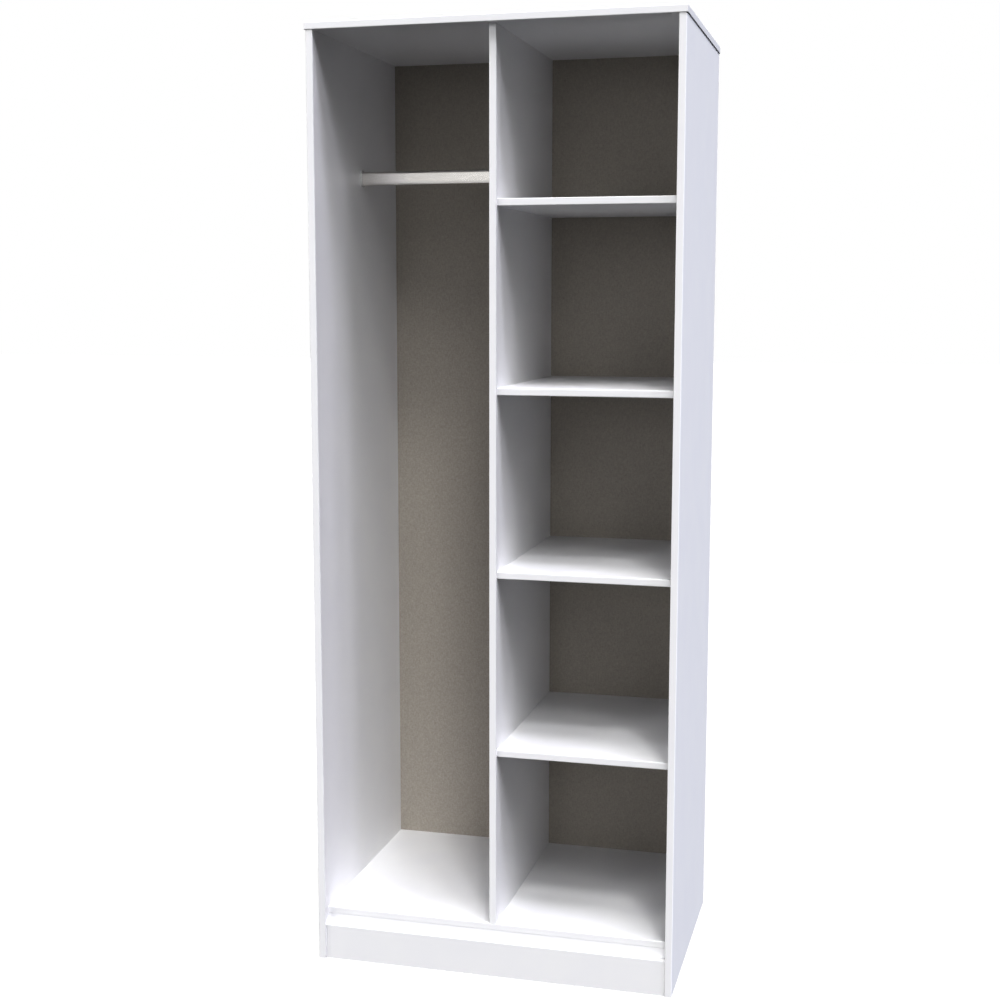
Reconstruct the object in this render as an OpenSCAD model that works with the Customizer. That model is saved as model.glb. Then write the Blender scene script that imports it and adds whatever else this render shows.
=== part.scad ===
// Open-front wardrobe: a tall white board carcass with a hanging space on the left
// and five stacked compartments on the right. The part stands on the floor at z = 0,
// its front faces -Y and its width runs along X. Sizes are in millimetres.

/* [Overall size] */
// Width over the top panel and its edging
overall_w = 772; // [600:1:1200]
// Depth from the top panel's front edge to the back panel's rear face
overall_d = 530; // [420:1:700]
// Height from the floor to the top panel's upper face
overall_h = 1970; // [1500:1:2400]

/* [Boards] */
// Thickness of every melamine-faced board
board_t = 15; // [12:0.5:25]
// Thickness of the hardboard back panel
back_t = 3; // [3:0.5:6]
// How far the back panel's outline stays inside the carcass
back_inset = 2; // [0:0.5:5]
// Thickness of the plastic edging strips
edging_t = 2; // [1:0.1:3]
// Rounding on the edging's two outer corners, as a radius
edging_r = 1.8; // [0.4:0.1:3]
// Smallest flat kept on each side of an edging strip, which limits the rounding
edging_land = 0.2; // [0.1:0.1:0.5]

/* [Layout] */
// How far the partition stands behind the side panels' front edges
partition_setback = 20; // [5:1:26]
// How far the shelves stand behind the side panels' front edges
shelf_setback = 26; // [20:1:80]
// Offset of the partition from the middle, towards +X
partition_offset = 0; // [-120:1:120]
// Height of the rails that carry the base panel
base_rail_h = 95; // [60:1:150]
// Height of the plinth board, with its top edging
plinth_h = 75; // [40:1:90]
// How far the plinth stands behind the side panels' front edges
plinth_setback = 5; // [0:1:30]
// Clear height of the compartment above the top shelf
top_bay_h = 337; // [200:1:450]

/* [Hanging rail] */
// Height of the oval rail tube
rail_h = 30; // [25:0.5:36]
// Thickness of the oval rail tube, front to back
rail_t = 15; // [14:0.5:18]
// Wall thickness of the rail tube
rail_wall = 1.2; // [0.8:0.1:1.6]
// Distance from the top panel's underside down to the rail's axis
rail_drop = 274; // [60:1:400]
// Distance from the side panels' front edges back to the rail's axis
rail_setback = 287; // [150:1:330]
// How far the socket's flange stands out all round the tube
flange_lip = 3; // [1:0.5:8]
// Thickness of the socket's flange
flange_t = 4; // [3:0.5:8]
// Length of the spigot inside the tube
spigot_l = 12; // [8:1:25]
// Wall thickness of the hollow spigot
spigot_wall = 1.5; // [1:0.1:1.6]
// Clearance between the tube and the spigot, all round
rail_fit = 0.1; // [0.05:0.05:0.3]
// End play of the tube at each socket
rail_end_gap = 0.5; // [0.3:0.1:2]

/* [Dowels] */
// Dowel diameter
dowel_d = 8; // [6:1:9]
// Depth a dowel enters the face of a board
dowel_in_face = 10; // [6:0.5:10]
// Depth a dowel enters the end of a board
dowel_in_end = 20; // [15:1:28]
// Chamfer on a dowel's ends
dowel_chamfer = 1; // [0.5:0.1:1.5]
// Radial clearance of a dowel in its hole
dowel_fit = 0.05; // [0.02:0.01:0.1]
// Extra depth of a dowel's hole past the dowel's end
dowel_gap = 1; // [0.5:0.1:1.5]
// Distance from a board's front or rear edge to its outer dowels
dowel_edge = 58; // [40:1:90]
// Distance from a base rail's upper or lower edge to the dowels in its ends
rail_dowel_edge = 24; // [15:1:24]

/* [Screws and pins] */
// Shank diameter of the screws
screw_d = 3.5; // [3:0.1:4]
// Head diameter of the screws
screw_head_d = 7; // [6:0.1:8]
// Depth of a screw's countersunk head
screw_head_h = 2.2; // [1.5:0.1:2.4]
// Length a screw reaches into the board it bites
screw_bite = 10; // [6:0.5:11]
// Radial clearance of a screw in the piece it holds down
screw_fit = 0.2; // [0.1:0.05:0.4]
// Number of screws through the front base rail into the plinth
plinth_screw_count = 5; // [3:1:9]
// Shank diameter of the back panel's pins
pin_d = 1.6; // [1.2:0.1:2]
// Length of a back panel pin under its head
pin_l = 20; // [15:1:25]
// Head diameter of a back panel pin
pin_head_d = 4; // [3:0.1:5]
// Head height of a back panel pin, proud of the back panel
pin_head_h = 0.5; // [0.3:0.1:1]
// Largest spacing between back panel pins
pin_pitch = 150; // [100:5:250]
// Distance from an upright to the nearest pin in a level board
pin_end_gap = 50; // [30:1:60]

/* [Colours] */
// Melamine faces
melamine_colour = "#ECECF0";
// Edging strips
edging_colour = "#F2F2F4";
// Printed linen face of the back panel
back_colour = "#6F6A64";
// Rail tube
rail_colour = "#D9D6D2";
// Rail sockets
socket_colour = "#C9C9CC";
// Beech dowels
dowel_colour = "#D8B98A";
// Zinc-plated screws and pins
steel_colour = "#B9BBBE";

/* [Hidden] */
$fn = 64;
pin_sides = 16;
cut = 1;

// Carcass outline
carcass_half = overall_w / 2 - edging_t;
inner_half = carcass_half - board_t;
front_y = -overall_d / 2;
side_front_y = front_y + edging_t;
back_y = overall_d / 2 - back_t;
side_h = overall_h - board_t;
base_top = base_rail_h + board_t;
corner_r = min(edging_r, edging_t - edging_land);

// Planes of the set-back pieces
partition_y = side_front_y + partition_setback;
shelf_y = side_front_y + shelf_setback;
plinth_y = side_front_y + plinth_setback;
rail_front_y = plinth_y + board_t;
rear_rail_y = back_y - board_t;

// Partition and shelves
part_x = partition_offset;
part_left = part_x - board_t / 2;
part_right = part_x + board_t / 2;
shelf_count = 4;
shelf_pitch = (side_h - top_bay_h - base_top) / shelf_count;
shelf_tops = [for (i = [1:shelf_count]) base_top + i * shelf_pitch];

// Hanging rail
rail_y = side_front_y + rail_setback;
rail_z = side_h - rail_drop;
rail_flat = rail_h - rail_t;
bore_t = rail_t - 2 * rail_wall;
spigot_t = bore_t - 2 * rail_fit;
flange_w = rail_t + 2 * flange_lip;
tube_left = -inner_half + flange_t + rail_end_gap;
tube_right = part_left - flange_t - rail_end_gap;

// Dowel rows, front to rear
dowel_r = dowel_d / 2;
dowel_ys = [shelf_y + dowel_edge, (shelf_y + back_y) / 2, back_y - dowel_edge];
panel_xs = [-inner_half - board_t / 2, part_x, inner_half + board_t / 2];
base_mid_z = base_rail_h + board_t / 2;
rail_mid_ys = [rail_front_y + board_t / 2, rear_rail_y + board_t / 2];
rail_dowel_zs = [rail_dowel_edge, base_rail_h - rail_dowel_edge];

// Screws through the front rail into the plinth, in the middle of equal stretches
plinth_screw_z = plinth_h / 2;
plinth_screw_pitch = 2 * inner_half / plinth_screw_count;
plinth_screw_xs = [
    for (i = [0:plinth_screw_count - 1]) -inner_half + (i + 0.5) * plinth_screw_pitch
];

// Back panel pins, each through the middle of a board's rear edge
pin_inset = board_t / 2;
back_low = base_rail_h;
back_high = overall_h - back_inset;

// Evenly spaced places from a to b, no further apart than the pin pitch
function spaced(a, b) =
    let (n = ceil((b - a) / pin_pitch))
    [for (i = [0:n]) a + (b - a) * i / n];

upright_pin_zs = spaced(base_top + pin_pitch / 2, side_h - pin_pitch / 2);
left_pin_xs = spaced(-inner_half + pin_end_gap, part_left - pin_end_gap);
right_pin_xs = spaced(part_right + pin_end_gap, inner_half - pin_end_gap);
pin_points = concat(
    [for (x = panel_xs, z = upright_pin_zs) [x, z]],
    [for (x = concat(left_pin_xs, right_pin_xs), z = [base_mid_z, side_h + pin_inset]) [x, z]],
    [for (x = right_pin_xs, top = shelf_tops) [x, top - pin_inset]]
);

// Dowels in the rails' top edges, midway between two of the base panel's pins
rail_dowel_xs = [
    (left_pin_xs[0] + left_pin_xs[1]) / 2,
    (right_pin_xs[0] + right_pin_xs[1]) / 2
];

// A box given by its lowest and highest corners
module slab(low, high) {
    translate(low)
        cube(high - low);
}

// Outline of an edging strip: glued side on x = 0, the outer corners rounded
module edging_outline(width) {
    intersection() {
        square([edging_t, width]);
        union() {
            square([edging_t - corner_r, width]);
            translate([0, corner_r])
                square([edging_t, width - 2 * corner_r]);
            for (y = [corner_r, width - corner_r])
                translate([edging_t - corner_r, y])
                    circle(r = corner_r);
        }
    }
}

// A front edging strip that lies along X, its outer face towards -Y
module edging_along_x(x0, x1, outer_y, z0, width) {
    translate([x0, outer_y + edging_t, z0])
        rotate([90, 0, 90])
            mirror([1, 0, 0])
                linear_extrude(x1 - x0)
                    edging_outline(width);
}

// A front edging strip that stands along Z, its outer face towards -Y
module edging_along_z(x0, outer_y, z0, z1) {
    translate([x0, outer_y + edging_t, z0])
        rotate([0, 0, -90])
            linear_extrude(z1 - z0)
                edging_outline(board_t);
}

// An edging strip along Y on the end of the top panel, its outer face towards side * X
module edging_along_y(side, y0, y1, z0) {
    translate([side * carcass_half, y0, z0])
        mirror([side < 0 ? 1 : 0, 0, 0])
            rotate([90, 0, 0])
                mirror([0, 0, 1])
                    linear_extrude(y1 - y0)
                        edging_outline(board_t);
}

// A dowel along +Z with its joint plane at z = 0: the face board is above, the end board below
module dowel() {
    rotate_extrude()
        polygon([
            [0, -dowel_in_end],
            [dowel_r - dowel_chamfer, -dowel_in_end],
            [dowel_r, -dowel_in_end + dowel_chamfer],
            [dowel_r, dowel_in_face - dowel_chamfer],
            [dowel_r - dowel_chamfer, dowel_in_face],
            [0, dowel_in_face]
        ]);
}

// The drilling for one dowel, in both boards
module dowel_hole() {
    translate([0, 0, -dowel_in_end - dowel_gap])
        cylinder(r = dowel_r + dowel_fit, h = dowel_in_end + dowel_in_face + 2 * dowel_gap);
}

// Joints between the top panel and the three uprights
module at_top_joints() {
    for (x = panel_xs, y = dowel_ys)
        translate([x, y, side_h])
            children();
}

// Joints between the side panels and the base, and the partition's foot
module at_base_joints() {
    for (side = [-1, 1], y = dowel_ys)
        translate([side * inner_half, y, base_mid_z])
            rotate([0, side * 90, 0])
                children();
    for (y = dowel_ys)
        translate([part_x, y, base_top])
            rotate([180, 0, 0])
                children();
}

// Joints at both ends of the shelf whose upper face is at top_z
module at_shelf_joints(top_z) {
    for (y = dowel_ys) {
        translate([inner_half, y, top_z - board_t / 2])
            rotate([0, 90, 0])
                children();
        translate([part_right, y, top_z - board_t / 2])
            rotate([0, -90, 0])
                children();
    }
}

// Joints at the ends and the top edges of the two base rails
module at_rail_joints() {
    for (side = [-1, 1], y = rail_mid_ys, z = rail_dowel_zs)
        translate([side * inner_half, y, z])
            rotate([0, side * 90, 0])
                children();
    for (x = rail_dowel_xs, y = rail_mid_ys)
        translate([x, y, base_rail_h])
            children();
}

module all_shelf_joints() {
    for (top_z = shelf_tops)
        at_shelf_joints(top_z)
            children();
}

// A countersunk screw along -Z with the top of its head at z = 0
module screw(length) {
    rotate_extrude()
        polygon([
            [0, 0],
            [screw_head_d / 2, 0],
            [screw_d / 2, -screw_head_h],
            [screw_d / 2, -length + screw_d],
            [0, -length]
        ]);
}

// The hole that a screw passes through, countersunk, down to the given depth
module screw_hole(depth) {
    rotate_extrude()
        polygon([
            [0, cut],
            [screw_head_d / 2 + screw_fit, cut],
            [screw_head_d / 2 + screw_fit, 0],
            [screw_d / 2 + screw_fit, -screw_head_h],
            [screw_d / 2 + screw_fit, -depth - cut],
            [0, -depth - cut]
        ]);
}

module at_plinth_screws() {
    for (x = plinth_screw_xs)
        translate([x, rail_front_y + board_t, plinth_screw_z])
            rotate([-90, 0, 0])
                children();
}

// Places of the two rail sockets, each with its open side towards +Z
module at_left_socket() {
    translate([-inner_half, rail_y, rail_z])
        rotate([0, 90, 0])
            children();
}

module at_right_socket() {
    translate([part_left, rail_y, rail_z])
        rotate([0, -90, 0])
            children();
}

module top_panel() {
    color(melamine_colour)
        difference() {
            slab([-carcass_half, side_front_y, side_h], [carcass_half, back_y, overall_h]);
            at_top_joints()
                dowel_hole();
        }
}

module side_panel(side) {
    inner = side * inner_half;
    outer = side * carcass_half;
    color(melamine_colour)
        difference() {
            slab([min(inner, outer), side_front_y + edging_t, 0], [max(inner, outer), back_y, side_h]);
            at_top_joints()
                dowel_hole();
            at_base_joints()
                dowel_hole();
            at_rail_joints()
                dowel_hole();
            if (side > 0)
                all_shelf_joints()
                    dowel_hole();
        }
}

module left_side_panel() {
    side_panel(-1);
}

module right_side_panel() {
    side_panel(1);
}

module centre_partition() {
    color(melamine_colour)
        difference() {
            slab([part_left, partition_y + edging_t, base_top], [part_right, back_y, side_h]);
            at_top_joints()
                dowel_hole();
            at_base_joints()
                dowel_hole();
            all_shelf_joints()
                dowel_hole();
        }
}

module base_panel() {
    color(melamine_colour)
        difference() {
            slab([-inner_half, rail_front_y + edging_t, base_rail_h], [inner_half, back_y, base_top]);
            at_base_joints()
                dowel_hole();
            at_rail_joints()
                dowel_hole();
        }
}

module shelf(index) {
    top_z = shelf_tops[index - 1];
    color(melamine_colour)
        difference() {
            slab([part_right, shelf_y + edging_t, top_z - board_t], [inner_half, back_y, top_z]);
            at_shelf_joints(top_z)
                dowel_hole();
        }
}

module back_panel() {
    color(back_colour)
        slab([-carcass_half + back_inset, back_y, back_low],
             [carcass_half - back_inset, back_y + back_t, back_high]);
}

module plinth_board() {
    color(melamine_colour)
        slab([-inner_half, plinth_y, 0], [inner_half, plinth_y + board_t, plinth_h - edging_t]);
}

module base_rail(front) {
    color(melamine_colour)
        difference() {
            slab([-inner_half, front, 0], [inner_half, front + board_t, base_rail_h]);
            at_rail_joints()
                dowel_hole();
            at_plinth_screws()
                screw_hole(board_t);
        }
}

module base_rail_front() {
    base_rail(rail_front_y);
}

module base_rail_rear() {
    base_rail(rear_rail_y);
}

module top_front_edging() {
    color(edging_colour)
        edging_along_x(-carcass_half - edging_t, carcass_half + edging_t, front_y, side_h, board_t);
}

module top_end_edgings() {
    color(edging_colour)
        for (side = [-1, 1])
            edging_along_y(side, side_front_y, back_y, side_h);
}

module left_side_edging() {
    color(edging_colour)
        edging_along_z(-carcass_half, side_front_y, 0, side_h);
}

module right_side_edging() {
    color(edging_colour)
        edging_along_z(inner_half, side_front_y, 0, side_h);
}

module partition_edging() {
    color(edging_colour)
        edging_along_z(part_left, partition_y, base_top, side_h);
}

module base_edging() {
    color(edging_colour)
        edging_along_x(-inner_half, inner_half, rail_front_y, base_rail_h, board_t);
}

module shelf_edgings() {
    color(edging_colour)
        for (top_z = shelf_tops)
            edging_along_x(part_right, inner_half, shelf_y, top_z - board_t, board_t);
}

// Edging on the plinth board's top edge, its outer face upwards
module plinth_edging() {
    color(edging_colour)
        translate([-inner_half, plinth_y + board_t, plinth_h - edging_t])
            rotate([90, 0, 90])
                rotate([0, 0, 90])
                    linear_extrude(2 * inner_half)
                        edging_outline(board_t);
}

// Upright oval bar along +Z; every oval of the rail has the same flat between its round ends
module oval_bar(width, length) {
    linear_extrude(length)
        union() {
            square([rail_flat, width], center = true);
            for (end = [-1, 1])
                translate([end * rail_flat / 2, 0])
                    circle(d = width);
        }
}

// Oval steel tube, slid over the spigots of the two sockets
module hanging_rail() {
    color(rail_colour)
        translate([tube_left, rail_y, rail_z])
            rotate([0, 90, 0])
                difference() {
                    oval_bar(rail_t, tube_right - tube_left);
                    translate([0, 0, -cut])
                        oval_bar(bore_t, tube_right - tube_left + 2 * cut);
                }
}

// The two screws of a socket, in the middle of its round ends
module at_socket_screws() {
    for (end = [-1, 1])
        translate([end * rail_flat / 2, 0, flange_t])
            children();
}

// Oval flange with a hollow spigot, and countersunk holes for its fixing screws
module rail_socket() {
    color(socket_colour)
        difference() {
            union() {
                oval_bar(flange_w, flange_t);
                oval_bar(spigot_t, flange_t + spigot_l);
            }
            translate([0, 0, flange_t])
                oval_bar(spigot_t - 2 * spigot_wall, spigot_l + cut);
            at_socket_screws()
                screw_hole(flange_t);
        }
}

module rail_socket_left() {
    at_left_socket()
        rail_socket();
}

module rail_socket_right() {
    at_right_socket()
        rail_socket();
}

module socket_screws() {
    at_socket_screws()
        screw(flange_t + screw_bite);
}

module rail_socket_screws() {
    color(steel_colour) {
        at_left_socket()
            socket_screws();
        at_right_socket()
            socket_screws();
    }
}

module top_dowels() {
    color(dowel_colour)
        at_top_joints()
            dowel();
}

module base_dowels() {
    color(dowel_colour)
        at_base_joints()
            dowel();
}

module shelf_dowels() {
    color(dowel_colour)
        all_shelf_joints()
            dowel();
}

module rail_dowels() {
    color(dowel_colour)
        at_rail_joints()
            dowel();
}

module plinth_screws() {
    color(steel_colour)
        at_plinth_screws()
            screw(board_t + screw_bite);
}

// Pins through the back panel into the rear edges of the boards
module back_panel_pins() {
    color(steel_colour)
        for (point = pin_points)
            translate([point[0], back_y + back_t, point[1]])
                rotate([90, 0, 0])
                    union() {
                        cylinder(d = pin_d, h = pin_l, $fn = pin_sides);
                        translate([0, 0, -pin_head_h])
                            cylinder(d = pin_head_d, h = pin_head_h, $fn = pin_sides);
                    }
}

top_panel();
left_side_panel();
right_side_panel();
centre_partition();
base_panel();
shelf(1);  // shelf_1
shelf(2);  // shelf_2
shelf(3);  // shelf_3
shelf(4);  // shelf_4
back_panel();
plinth_board();
base_rail_front();
base_rail_rear();
top_front_edging();
top_end_edgings();
left_side_edging();
right_side_edging();
partition_edging();
base_edging();
shelf_edgings();
plinth_edging();
hanging_rail();
rail_socket_left();
rail_socket_right();
rail_socket_screws();
top_dowels();
base_dowels();
shelf_dowels();
rail_dowels();
plinth_screws();
back_panel_pins();
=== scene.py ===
import math

import bpy
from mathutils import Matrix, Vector


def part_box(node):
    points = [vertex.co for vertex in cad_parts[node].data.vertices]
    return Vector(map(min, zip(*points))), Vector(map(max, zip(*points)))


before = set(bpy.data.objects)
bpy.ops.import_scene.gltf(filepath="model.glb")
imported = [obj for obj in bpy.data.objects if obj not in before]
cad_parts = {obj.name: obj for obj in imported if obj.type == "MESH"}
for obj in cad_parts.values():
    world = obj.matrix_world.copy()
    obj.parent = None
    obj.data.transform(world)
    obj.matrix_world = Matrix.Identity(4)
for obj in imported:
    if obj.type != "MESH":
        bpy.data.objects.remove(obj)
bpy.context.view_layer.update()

# ---------------------------------------------------------------- side panels
# The two uprights that carry everything: 15 mm chipboard with white melamine pressed
# on both faces, sawn to size. They stand on the floor on their own bottom edges.

MM = 0.001

# A face looks along an axis when its normal has at least this much of it.
SQUARE_ON = 0.7
# The resin-soaked papers show on a sawn edge as a white line at each face.
PAPER_LINE = 0.3 * MM
# Pressed melamine: an even white that drifts by about one part in a hundred, with the
# press plate's pearl grain.
WHITE_DRIFT = 90 * MM
PEARL_GRAIN = 1.5 * MM
# Chipboard core: long flakes in the middle and fine chips near the faces. The change from
# one to the other lies between two distances from the board's middle.
CORE_FLAKE = 2.6 * MM
FACE_CHIP = 0.9 * MM
FLAKES_TO = 3.0 * MM
CHIPS_FROM = 5.5 * MM
# Pressed melamine has a low sheen, and sawn chipboard none.
MELAMINE_ROUGHNESS = 0.42
CHIPBOARD_ROUGHNESS = 0.85
# How much of the bump's depth shows on each: chips stand out by a few hundredths.
BOARD_BUMP = 0.1 * MM
PEARL_RELIEF = 0.12
CHIP_RELIEF = 0.5


def linear(hex_colour):
    """An sRGB hex colour as the linear colour that the shaders use."""
    parts = [int(hex_colour[i:i + 2], 16) / 255 for i in (1, 3, 5)]
    parts = [c / 12.92 if c <= 0.04045 else ((c + 0.055) / 1.055) ** 2.4 for c in parts]
    return (*parts, 1.0)


def add_node(tree, kind, settings=None, values=None, links=None):
    """Adds a node with its settings, its socket values and its incoming links. Sockets that
    share a name go by number: 0 and 1 in Math, and in Mix 0 for the factor, 2 and 3 for
    two numbers and 6 and 7 for two colours."""
    node = tree.nodes.new(kind)
    for name, value in (settings or {}).items():
        setattr(node, name, value)
    for socket, value in (values or {}).items():
        node.inputs[socket].default_value = value
    for socket, source in (links or {}).items():
        tree.links.new(source, node.inputs[socket])
    return node


def fill_ramp(node, stops):
    """Sets a colour ramp's stops from pairs of place and hex colour."""
    elements = node.color_ramp.elements
    while len(elements) > 1:
        elements.remove(elements[-1])
    for index, (place, hex_colour) in enumerate(stops):
        element = elements[0] if index == 0 else elements.new(place)
        element.position = place
        element.color = linear(hex_colour)


def new_finish(name):
    """An empty material, with its node tree and the coordinates that its patterns read."""
    material = bpy.data.materials.new(name)
    material.use_nodes = True
    tree = material.node_tree
    tree.nodes.clear()
    place = add_node(tree, "ShaderNodeTexCoord")
    return material, tree, place


def dress(name, material):
    """Gives a frame piece its finish."""
    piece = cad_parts[name]
    piece.data.materials.clear()
    piece.data.materials.append(material)


def melamine_board(name, face_axis, wrapped=False):
    """White melamine on the two faces across face_axis (0 x, 1 y, 2 z) and raw chipboard on
    the sawn edges, or white all round on a wrapped board."""
    low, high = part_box(name)
    half_thickness = (high - low)[face_axis] / 2
    material, tree, place = new_finish("melamine_faced_chipboard_" + name)
    centred = add_node(tree, "ShaderNodeMapping", values={"Location": -(low + high) / 2},
                       links={"Vector": place.outputs["Object"]})
    parts = add_node(tree, "ShaderNodeSeparateXYZ", links={"Vector": centred.outputs[0]})
    depth = add_node(tree, "ShaderNodeMath", {"operation": "ABSOLUTE"},
                     links={0: parts.outputs[face_axis]})
    facing = add_node(tree, "ShaderNodeSeparateXYZ", links={"Vector": place.outputs["Normal"]})
    across = add_node(tree, "ShaderNodeMath", {"operation": "ABSOLUTE"},
                      links={0: facing.outputs[face_axis]})
    # Every face of a wrapped board passes for a melamine face.
    on_face = add_node(tree, "ShaderNodeMath", {"operation": "GREATER_THAN"},
                       {1: -1.0 if wrapped else SQUARE_ON}, {0: across.outputs[0]})
    skin = add_node(tree, "ShaderNodeMath", {"operation": "GREATER_THAN"},
                    {1: half_thickness - PAPER_LINE}, {0: depth.outputs[0]})
    white = add_node(tree, "ShaderNodeMath", {"operation": "MAXIMUM"},
                     links={0: on_face.outputs[0], 1: skin.outputs[0]})
    drift = add_node(tree, "ShaderNodeTexNoise", None,
                     {"Scale": 1 / WHITE_DRIFT, "Detail": 2.0, "Roughness": 0.5},
                     {"Vector": centred.outputs[0]})
    paper = add_node(tree, "ShaderNodeValToRGB", links={"Fac": drift.outputs["Fac"]})
    fill_ramp(paper, [(0.3, "#E6E6E8"), (0.7, "#E8E8E9")])
    flake = add_node(tree, "ShaderNodeTexVoronoi", None, {"Scale": 1 / CORE_FLAKE},
                     {"Vector": centred.outputs[0]})
    dust = add_node(tree, "ShaderNodeTexVoronoi", None, {"Scale": 1 / FACE_CHIP},
                    {"Vector": centred.outputs[0]})
    near_face = add_node(tree, "ShaderNodeMapRange", {"interpolation_type": "SMOOTHSTEP"},
                         {"From Min": FLAKES_TO, "From Max": CHIPS_FROM},
                         {"Value": depth.outputs[0]})
    chips = add_node(tree, "ShaderNodeMix", {"data_type": "RGBA"},
                     links={0: near_face.outputs[0], 6: flake.outputs["Color"],
                            7: dust.outputs["Color"]})
    chip_tone = add_node(tree, "ShaderNodeSeparateColor", links={"Color": chips.outputs[2]})
    core = add_node(tree, "ShaderNodeValToRGB", links={"Fac": chip_tone.outputs[0]})
    fill_ramp(core, [(0.0, "#7D5F3E"), (0.25, "#A8845A"), (0.6, "#C6A579"), (1.0, "#DFC69D")])
    colour = add_node(tree, "ShaderNodeMix", {"data_type": "RGBA"},
                      links={0: white.outputs[0], 6: core.outputs[0], 7: paper.outputs[0]})
    sheen = add_node(tree, "ShaderNodeMapRange", None,
                     {"To Min": CHIPBOARD_ROUGHNESS, "To Max": MELAMINE_ROUGHNESS},
                     {"Value": white.outputs[0]})
    pearl = add_node(tree, "ShaderNodeTexNoise", None,
                     {"Scale": 1 / PEARL_GRAIN, "Detail": 3.0, "Roughness": 0.55},
                     {"Vector": centred.outputs[0]})
    height = add_node(tree, "ShaderNodeMix", {"data_type": "FLOAT"},
                      links={0: white.outputs[0], 2: chip_tone.outputs[0],
                             3: pearl.outputs["Fac"]})
    relief = add_node(tree, "ShaderNodeMapRange", None,
                      {"To Min": CHIP_RELIEF, "To Max": PEARL_RELIEF},
                      {"Value": white.outputs[0]})
    bump = add_node(tree, "ShaderNodeBump", None, {"Distance": BOARD_BUMP},
                    {"Strength": relief.outputs[0], "Height": height.outputs[0]})
    shader = add_node(tree, "ShaderNodeBsdfPrincipled", None, {"IOR": 1.5},
                      {"Base Color": colour.outputs[2], "Roughness": sheen.outputs[0],
                       "Normal": bump.outputs[0]})
    add_node(tree, "ShaderNodeOutputMaterial", links={"Surface": shader.outputs[0]})
    return material


for panel in ("left_side_panel", "right_side_panel"):
    dress(panel, melamine_board(panel, 0))

# ------------------------------------------------- base, base rails and plinth
# The base lies between the side panels on two rails that stand on edge below it. The
# plinth board is screwed to the front rail's face, which shows as a band above it, so the
# front rail has white foil round its edges too.

dress("base_panel", melamine_board("base_panel", 2))
for board in ("base_rail_rear", "plinth_board"):
    dress(board, melamine_board(board, 1))
dress("base_rail_front", melamine_board("base_rail_front", 1, wrapped=True))

# ------------------------------------------------------ partition and shelves
# One upright splits the inside in two, and four shelves are dowelled between it and the
# right side panel. They are the same white board, fixed, with no holes for other heights.

dress("centre_partition", melamine_board("centre_partition", 0))
for shelf in ("shelf_1", "shelf_2", "shelf_3", "shelf_4"):
    dress(shelf, melamine_board(shelf, 2))

# ------------------------------------------------------------------ top panel
# The top lies over both sides and the partition on hidden dowels, and stands proud of
# the sides by the thickness of its own edging.

dress("top_panel", melamine_board("top_panel", 2))

# -------------------------------------------------------------- edging strips
# White ABS strip, 2 mm thick, glued along every sawn edge that shows and scraped to a
# small radius. The scraper leaves fine lines along the strip and a slight gloss.

SCRAPER_LINE = 0.8 * MM
# The lines are fifty times as long as they are wide.
SCRAPER_STRETCH = 0.02
SCRAPER_BUMP = 0.05 * MM
# The strip's white drifts a little over this distance.
STRIP_DRIFT = 60 * MM


def edging_strip(name, along):
    """ABS edging whose scraper lines run along the axis given (0 x, 1 y, 2 z)."""
    material, tree, place = new_finish("abs_edging_" + name)
    stretch = [1.0, 1.0, 1.0]
    stretch[along] = SCRAPER_STRETCH
    drawn = add_node(tree, "ShaderNodeMapping", values={"Scale": stretch},
                     links={"Vector": place.outputs["Object"]})
    lines = add_node(tree, "ShaderNodeTexNoise", None,
                     {"Scale": 1 / SCRAPER_LINE, "Detail": 2.0, "Roughness": 0.6},
                     {"Vector": drawn.outputs[0]})
    drift = add_node(tree, "ShaderNodeTexNoise", None, {"Scale": 1 / STRIP_DRIFT, "Detail": 1.0},
                     {"Vector": place.outputs["Object"]})
    tone = add_node(tree, "ShaderNodeValToRGB", links={"Fac": drift.outputs["Fac"]})
    fill_ramp(tone, [(0.3, "#E7E7E9"), (0.7, "#E9E9EA")])
    gloss = add_node(tree, "ShaderNodeMapRange", values={"To Min": 0.3, "To Max": 0.42},
                     links={"Value": lines.outputs["Fac"]})
    bump = add_node(tree, "ShaderNodeBump", values={"Strength": 0.15, "Distance": SCRAPER_BUMP},
                    links={"Height": lines.outputs["Fac"]})
    shader = add_node(tree, "ShaderNodeBsdfPrincipled", None, {"IOR": 1.53},
                      {"Base Color": tone.outputs[0], "Roughness": gloss.outputs[0],
                       "Normal": bump.outputs[0]})
    add_node(tree, "ShaderNodeOutputMaterial", links={"Surface": shader.outputs[0]})
    return material


edging_along_x = edging_strip("along_the_width", 0)
edging_along_y = edging_strip("along_the_depth", 1)
edging_upright = edging_strip("upright", 2)
for strip in ("top_front_edging", "base_edging", "shelf_edgings", "plinth_edging"):
    dress(strip, edging_along_x)
for strip in ("left_side_edging", "right_side_edging", "partition_edging"):
    dress(strip, edging_upright)
dress("top_end_edgings", edging_along_y)

# ----------------------------------------------------------------- back panel
# One sheet of 3 mm hardboard, pinned on from behind. Its inner face carries a paper
# printed with a taupe linen weave; the outer face and the edges are bare brown fibre.

# Printed threads: warp runs up the panel and weft across it, each a few shades lighter or
# darker along its length. The weft prints a little fainter.
THREAD_SPACING = 0.9 * MM
THREAD_STRETCH = 0.16
WEFT_SHARE = 0.45
# The same weave again, coarser than the real one so that it shows from afar.
FAR_SPACING = 3.2 * MM
FAR_WARP_STRETCH = 0.4
FAR_WEFT_STRETCH = 0.5
FAR_SHARE = 0.5
# Slubs, the thick places in the yarn, show as faint blotches.
SLUB_SIZE = 20 * MM
SLUB_SHARE = 0.09
# Bare hardboard: matted brown wood fibres.
FIBRE_LENGTH = 4 * MM
FIBRE_STRETCH = 0.35
HARDBOARD_BUMP = 0.15 * MM


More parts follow.
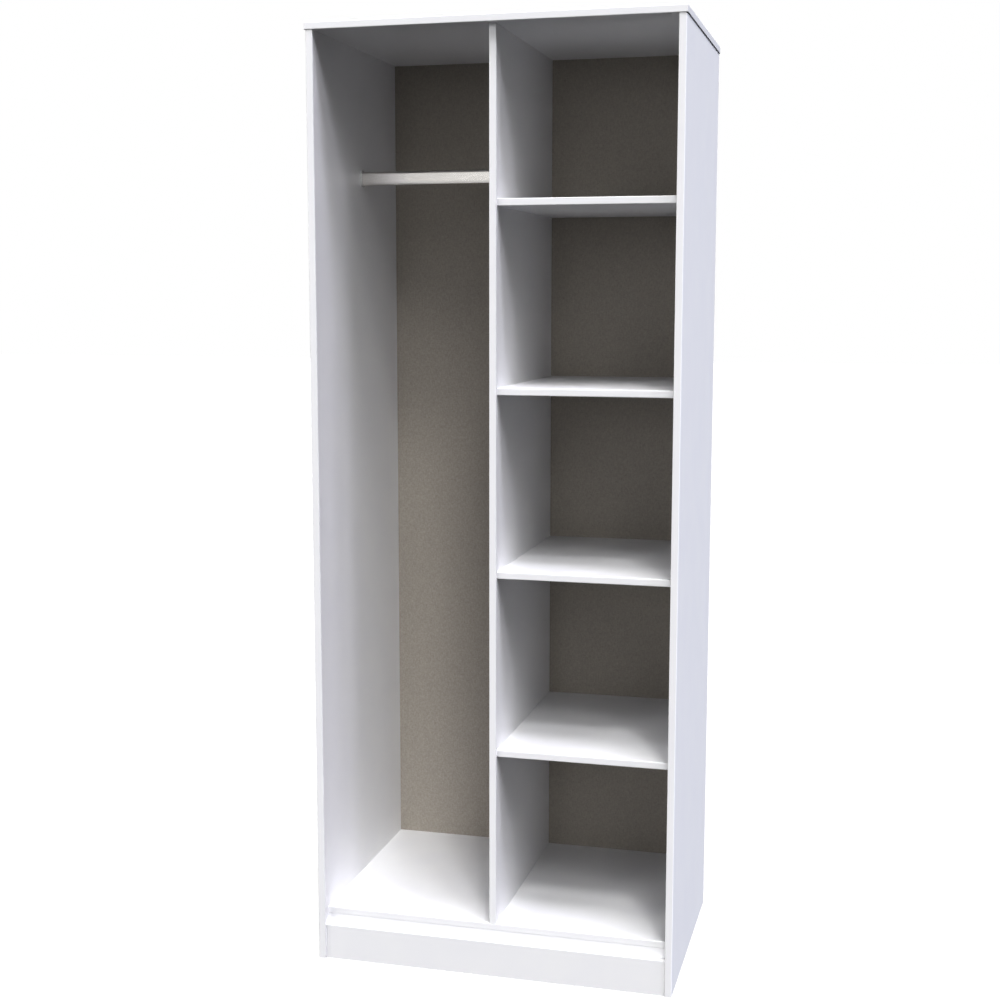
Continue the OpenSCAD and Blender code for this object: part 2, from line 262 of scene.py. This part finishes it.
def printed_threads(tree, place, spacing, warp_stretch, weft_stretch):
    """Warp and weft at one spacing, each drawn out along its own length."""
    threads = []
    for stretch in ((1.0, 1.0, warp_stretch), (weft_stretch, 1.0, 1.0)):
        drawn = add_node(tree, "ShaderNodeMapping", values={"Scale": stretch},
                         links={"Vector": place.outputs["Object"]})
        threads.append(add_node(tree, "ShaderNodeTexNoise", None,
                                {"Scale": 1 / spacing, "Detail": 1.0, "Roughness": 0.5},
                                {"Vector": drawn.outputs[0]}))
    warp, weft = threads
    return add_node(tree, "ShaderNodeMix", {"data_type": "FLOAT"}, {0: WEFT_SHARE},
                    {2: warp.outputs["Fac"], 3: weft.outputs["Fac"]})


def linen_print_hardboard():
    """Linen print on the face that looks to the front, and bare hardboard elsewhere."""
    material, tree, place = new_finish("linen_printed_hardboard")
    facing = add_node(tree, "ShaderNodeSeparateXYZ", links={"Vector": place.outputs["Normal"]})
    printed = add_node(tree, "ShaderNodeMath", {"operation": "LESS_THAN"}, {1: -SQUARE_ON},
                       {0: facing.outputs["Y"]})
    near = printed_threads(tree, place, THREAD_SPACING, THREAD_STRETCH, THREAD_STRETCH)
    far = printed_threads(tree, place, FAR_SPACING, FAR_WARP_STRETCH, FAR_WEFT_STRETCH)
    cloth = add_node(tree, "ShaderNodeMix", {"data_type": "FLOAT"}, {0: FAR_SHARE},
                     {2: near.outputs[0], 3: far.outputs[0]})
    slub = add_node(tree, "ShaderNodeTexNoise", None,
                    {"Scale": 1 / SLUB_SIZE, "Detail": 2.0, "Roughness": 0.5},
                    {"Vector": place.outputs["Object"]})
    woven = add_node(tree, "ShaderNodeMix", {"data_type": "FLOAT"}, {0: SLUB_SHARE},
                     {2: cloth.outputs[0], 3: slub.outputs["Fac"]})
    ink = add_node(tree, "ShaderNodeValToRGB", links={"Fac": woven.outputs[0]})
    fill_ramp(ink, [(0.35, "#9B958C"), (0.5, "#A8A299"), (0.65, "#B5AFA6")])
    fibre_map = add_node(tree, "ShaderNodeMapping", values={"Scale": (1.0, 1.0, FIBRE_STRETCH)},
                         links={"Vector": place.outputs["Object"]})
    fibre = add_node(tree, "ShaderNodeTexNoise", None,
                     {"Scale": 1 / FIBRE_LENGTH, "Detail": 6.0, "Roughness": 0.7,
                      "Distortion": 1.2},
                     {"Vector": fibre_map.outputs[0]})
    brown = add_node(tree, "ShaderNodeValToRGB", links={"Fac": fibre.outputs["Fac"]})
    fill_ramp(brown, [(0.3, "#6B4B30"), (0.5, "#86623F"), (0.7, "#A27C53")])
    colour = add_node(tree, "ShaderNodeMix", {"data_type": "RGBA"},
                      links={0: printed.outputs[0], 6: brown.outputs[0], 7: ink.outputs[0]})
    dull = add_node(tree, "ShaderNodeMapRange", values={"To Min": 0.78, "To Max": 0.6},
                    links={"Value": printed.outputs[0]})
    height = add_node(tree, "ShaderNodeMix", {"data_type": "FLOAT"},
                      links={0: printed.outputs[0], 2: fibre.outputs["Fac"],
                             3: cloth.outputs[0]})
    bump = add_node(tree, "ShaderNodeBump", values={"Strength": 0.25, "Distance": HARDBOARD_BUMP},
                    links={"Height": height.outputs[0]})
    shader = add_node(tree, "ShaderNodeBsdfPrincipled", None,
                      {"IOR": 1.48, "Specular IOR Level": 0.2},
                      {"Base Color": colour.outputs[2], "Roughness": dull.outputs[0],
                       "Normal": bump.outputs[0]})
    add_node(tree, "ShaderNodeOutputMaterial", links={"Surface": shader.outputs[0]})
    return material


dress("back_panel", linen_print_hardboard())

# ------------------------------------------------------------- pins and screws
# Zinc-plated steel: panel pins hold the back, countersunk screws hold the plinth and the
# rail's sockets. The plating is a thin grey-blue film, a little uneven from piece to piece.

PLATING_PATCH = 3 * MM


def zinc_plated_steel():
    """Bright plating whose tone and gloss drift together."""
    material, tree, place = new_finish("zinc_plated_steel")
    film = add_node(tree, "ShaderNodeTexNoise", None, {"Scale": 1 / PLATING_PATCH, "Detail": 3.0},
                    {"Vector": place.outputs["Object"]})
    tone = add_node(tree, "ShaderNodeValToRGB", links={"Fac": film.outputs["Fac"]})
    fill_ramp(tone, [(0.3, "#A9AEB4"), (0.7, "#C6C8C8")])
    gloss = add_node(tree, "ShaderNodeMapRange", values={"To Min": 0.28, "To Max": 0.45},
                     links={"Value": film.outputs["Fac"]})
    shader = add_node(tree, "ShaderNodeBsdfPrincipled", None, {"Metallic": 1.0},
                      {"Base Color": tone.outputs[0], "Roughness": gloss.outputs[0]})
    add_node(tree, "ShaderNodeOutputMaterial", links={"Surface": shader.outputs[0]})
    return material


zinc_plate = zinc_plated_steel()
for fixing in ("back_panel_pins", "plinth_screws", "rail_socket_screws"):
    dress(fixing, zinc_plate)

# --------------------------------------------------------------------- dowels
# Turned beech dowels glued into blind holes wherever two boards meet. Beech is pale and
# pinkish, with short brown flecks along the grain.

FLECK_WIDTH = 0.7 * MM
FLECK_STRETCH = 0.12
GRAIN_BUMP = 0.1 * MM


def beech_dowel(name, grain_axis):
    """Beech whose flecks run along the axis given (0 x, 2 z)."""
    material, tree, place = new_finish("beech_" + name)
    stretch = [1.0, 1.0, 1.0]
    stretch[grain_axis] = FLECK_STRETCH
    grain_map = add_node(tree, "ShaderNodeMapping", values={"Scale": stretch},
                         links={"Vector": place.outputs["Object"]})
    fleck = add_node(tree, "ShaderNodeTexNoise", None,
                     {"Scale": 1 / FLECK_WIDTH, "Detail": 4.0, "Roughness": 0.65},
                     {"Vector": grain_map.outputs[0]})
    wood = add_node(tree, "ShaderNodeValToRGB", links={"Fac": fleck.outputs["Fac"]})
    fill_ramp(wood, [(0.3, "#B98E62"), (0.5, "#D8B48A"), (0.75, "#E6CBA6")])
    bump = add_node(tree, "ShaderNodeBump", values={"Strength": 0.3, "Distance": GRAIN_BUMP},
                    links={"Height": fleck.outputs["Fac"]})
    shader = add_node(tree, "ShaderNodeBsdfPrincipled", None, {"IOR": 1.5, "Roughness": 0.6},
                      {"Base Color": wood.outputs[0], "Normal": bump.outputs[0]})
    add_node(tree, "ShaderNodeOutputMaterial", links={"Surface": shader.outputs[0]})
    return material


upright_beech = beech_dowel("upright", 2)
level_beech = beech_dowel("along_the_width", 0)
dress("top_dowels", upright_beech)
for dowels in ("base_dowels", "shelf_dowels", "rail_dowels"):
    dress(dowels, level_beech)

# --------------------------------------------------------------- hanging rail
# Oval steel tube, 30 x 15 mm, satin nickel plated, slid over the spigots of two die-cast
# sockets. Linishing leaves hair lines along the tube; the castings are plainer and duller.

HAIR_LINE = 1.2 * MM
HAIR_BUMP = 0.04 * MM
# Along the tube the lines are twenty times as long as they are wide; a casting has no grain.
TUBE_STRETCH = (0.05, 1.0, 1.0)
CASTING_STRETCH = (1.0, 1.0, 1.0)


def satin_metal(name, dark, light, smoothest, roughest, line_stretch):
    """Plated metal with linishing lines; line_stretch squeezes the grain along one axis."""
    material, tree, place = new_finish(name)
    brushed = add_node(tree, "ShaderNodeMapping", values={"Scale": line_stretch},
                       links={"Vector": place.outputs["Object"]})
    lines = add_node(tree, "ShaderNodeTexNoise", None,
                     {"Scale": 1 / HAIR_LINE, "Detail": 3.0, "Roughness": 0.6},
                     {"Vector": brushed.outputs[0]})
    tone = add_node(tree, "ShaderNodeValToRGB", links={"Fac": lines.outputs["Fac"]})
    fill_ramp(tone, [(0.3, dark), (0.7, light)])
    gloss = add_node(tree, "ShaderNodeMapRange", values={"To Min": smoothest, "To Max": roughest},
                     links={"Value": lines.outputs["Fac"]})
    bump = add_node(tree, "ShaderNodeBump", values={"Strength": 0.2, "Distance": HAIR_BUMP},
                    links={"Height": lines.outputs["Fac"]})
    shader = add_node(tree, "ShaderNodeBsdfPrincipled", None, {"Metallic": 1.0},
                      {"Base Color": tone.outputs[0], "Roughness": gloss.outputs[0],
                       "Normal": bump.outputs[0]})
    add_node(tree, "ShaderNodeOutputMaterial", links={"Surface": shader.outputs[0]})
    return material


satin_nickel = satin_metal("satin_nickel_tube", "#E2DFDB", "#EBE8E5", 0.18, 0.24, TUBE_STRETCH)
dress("hanging_rail", satin_nickel)
cast_zinc = satin_metal("die_cast_zinc_socket", "#C6C6C6", "#D4D4D3", 0.4, 0.5, CASTING_STRETCH)
for socket in ("rail_socket_left", "rail_socket_right"):
    dress(socket, cast_zinc)

# --------------------------------------------------------------------- studio
# Plain pale floor and white surround, both lit so brightly that they come out white. The
# floor throws no light back, so the undersides and the inside stay dark.

FLOOR_SIZE = 60.0
FLOOR_GLOW = 0.9

bpy.ops.object.select_all(action="DESELECT")
bpy.ops.mesh.primitive_plane_add(size=FLOOR_SIZE, location=(0, 0, 0))
floor = bpy.context.active_object
floor.name = "studio_floor"
floor.visible_diffuse = False
floor.visible_glossy = False
floor_paint, tree, _ = new_finish("pale_studio_floor")
shader = add_node(tree, "ShaderNodeBsdfPrincipled",
                  values={"Base Color": linear("#616161"), "Roughness": 1.0,
                          "Specular IOR Level": 0.0, "Emission Color": linear("#FFFFFF"),
                          "Emission Strength": FLOOR_GLOW})
add_node(tree, "ShaderNodeOutputMaterial", links={"Surface": shader.outputs[0]})
floor.data.materials.append(floor_paint)

# The surround is white to the camera. Its front half also shows, at part strength, in
# glossy reflections, as a large white screen would. It throws no diffuse light.
SCREEN_WHITE = 0.8
# The screen fades in between these two directions, as their share along y.
SCREEN_EDGE = -0.05
SCREEN_FULL = -0.35

surround = bpy.data.worlds.new("white_surround")
bpy.context.scene.world = surround
surround.use_nodes = True
tree = surround.node_tree
seen = add_node(tree, "ShaderNodeLightPath")
heading = add_node(tree, "ShaderNodeTexCoord")
compass = add_node(tree, "ShaderNodeSeparateXYZ", links={"Vector": heading.outputs["Generated"]})
screen = add_node(tree, "ShaderNodeMapRange", {"interpolation_type": "SMOOTHSTEP"},
                  {"From Min": SCREEN_EDGE, "From Max": SCREEN_FULL,
                   "To Min": 0.0, "To Max": SCREEN_WHITE},
                  {"Value": compass.outputs["Y"]})
mirrored = add_node(tree, "ShaderNodeMath", {"operation": "MULTIPLY"},
                    links={0: screen.outputs[0], 1: seen.outputs["Is Glossy Ray"]})
glow = add_node(tree, "ShaderNodeMath", {"operation": "MAXIMUM"},
                links={0: mirrored.outputs[0], 1: seen.outputs["Is Camera Ray"]})
backdrop = tree.nodes["Background"]
backdrop.inputs["Color"].default_value = linear("#FFFFFF")
tree.links.new(glow.outputs[0], backdrop.inputs["Strength"])

# Soft boxes: azimuth (0 in front, 90 at the right), elevation, strength, width of the source
# in degrees as seen from the object, and colour. The right-hand ones are slightly blue.
SOFT_BOXES = [
    (96, 48, 3.18, 8, "#F1F5FF"),
    (24, 56, 1.152, 8, "#FFFFFF"),
    (42, 64, 1.035, 8, "#FFFFFF"),
    (-40, 8, 1.08, 16, "#FFFFFF"),
    (-62, 10, 0.42, 16, "#FFFFFF"),
    (60, 64, 0.971, 8, "#F3F2FF"),
    (78, 48, 0.653, 8, "#F1F0FF"),
    (-68, 40, 0.535, 8, "#FFFFFF"),
    (15, 48, 0.429, 8, "#FFFFFF"),
    (64, 32, 0.426, 8, "#F1F0FF"),
    (28, 40, 0.306, 8, "#FFFFFF"),
    (0, 8, 0.207, 16, "#FFFFFF"),
    (20, 22, 0.183, 12, "#FFFFFF"),
    (212, 35, 1.6, 20, "#FFFFFF"),
]
# A lamp lights by its direction alone, and stands this far out.
LAMP_DISTANCE = 5.0

for azimuth, elevation, strength, width, colour in SOFT_BOXES:
    name = "soft_box_%d_%d" % (azimuth, elevation)
    lamp = bpy.data.lights.new(name, "SUN")
    lamp.energy = strength
    lamp.angle = math.radians(width)
    lamp.color = linear(colour)[:3]
    turn = math.radians(azimuth)
    rise = math.radians(elevation)
    toward = Vector((math.sin(turn) * math.cos(rise), -math.cos(turn) * math.cos(rise),
                     math.sin(rise)))
    holder = bpy.data.objects.new(name, lamp)
    holder.rotation_euler = toward.to_track_quat("Z", "Y").to_euler()
    holder.location = toward * LAMP_DISTANCE
    bpy.context.scene.collection.objects.link(holder)

# --------------------------------------------------------------------- camera
# Stands to the right of the middle at chest height, about 3 m in front of the wardrobe,
# and looks a little down and to the left.

CAMERA_PLACE = (0.797, -3.262, 1.426)
CAMERA_TILT = 82.41
CAMERA_TURN = 14.8

lens = bpy.data.cameras.new("camera")
lens.lens = 55.65
lens.sensor_width = 36.0
lens.shift_x = 0.0077
lens.shift_y = 0.0016
camera = bpy.data.objects.new("camera", lens)
camera.location = CAMERA_PLACE
camera.rotation_euler = (math.radians(CAMERA_TILT), 0.0, math.radians(CAMERA_TURN))
bpy.context.scene.collection.objects.link(camera)
bpy.context.scene.camera = camera
bpy.context.scene.view_settings.view_transform = "Standard"
bpy.context.scene.view_settings.look = "None"
bpy.context.scene.view_settings.gamma = 0.8
